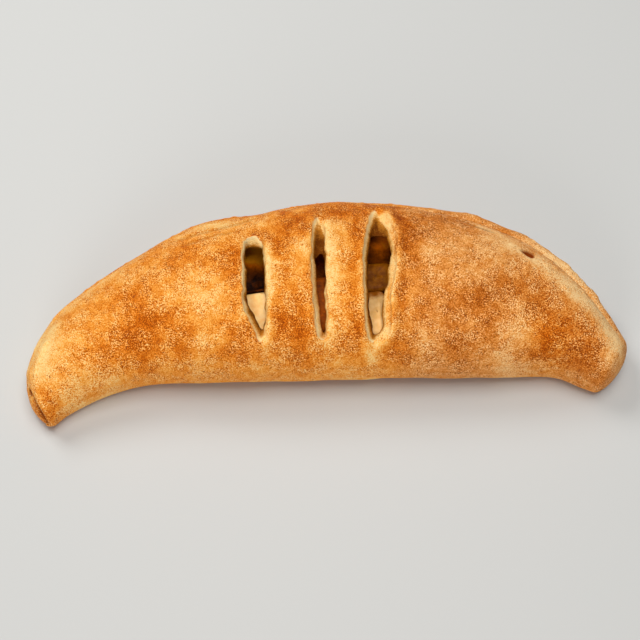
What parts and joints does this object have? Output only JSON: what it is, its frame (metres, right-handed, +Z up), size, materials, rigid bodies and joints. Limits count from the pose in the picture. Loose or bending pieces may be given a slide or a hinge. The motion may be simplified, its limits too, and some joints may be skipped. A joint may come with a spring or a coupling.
{
  "type": "calzone",
  "caption": "Long half-moon of baked dough folded over a melted filling, with a rolled seam along its arched edge and open steam vents across its crown.",
  "frame": {"origin": "on the surface it rests on, under the middle of its bounding box", "axes": "+X along its length, +Y from the folded front edge to the rolled seam, +Z up"},
  "size_m": [0.3575, 0.1454, 0.0602],
  "materials": {
    "crust": "baked golden dough, finely speckled, matt, browner on the crown",
    "filling": "melted browned cheese and sauce, moist",
    "cheese": "pale melted cheese, soft sheen",
    "browned": "browned piece, moist"
  },
  "bodies": {
    "root": {"crust": "crust", "filling": "filling", "cheese_slice": "cheese", "cheese_fold": "cheese", "browned_chunk": "browned"}
  },
  "joints": []
}
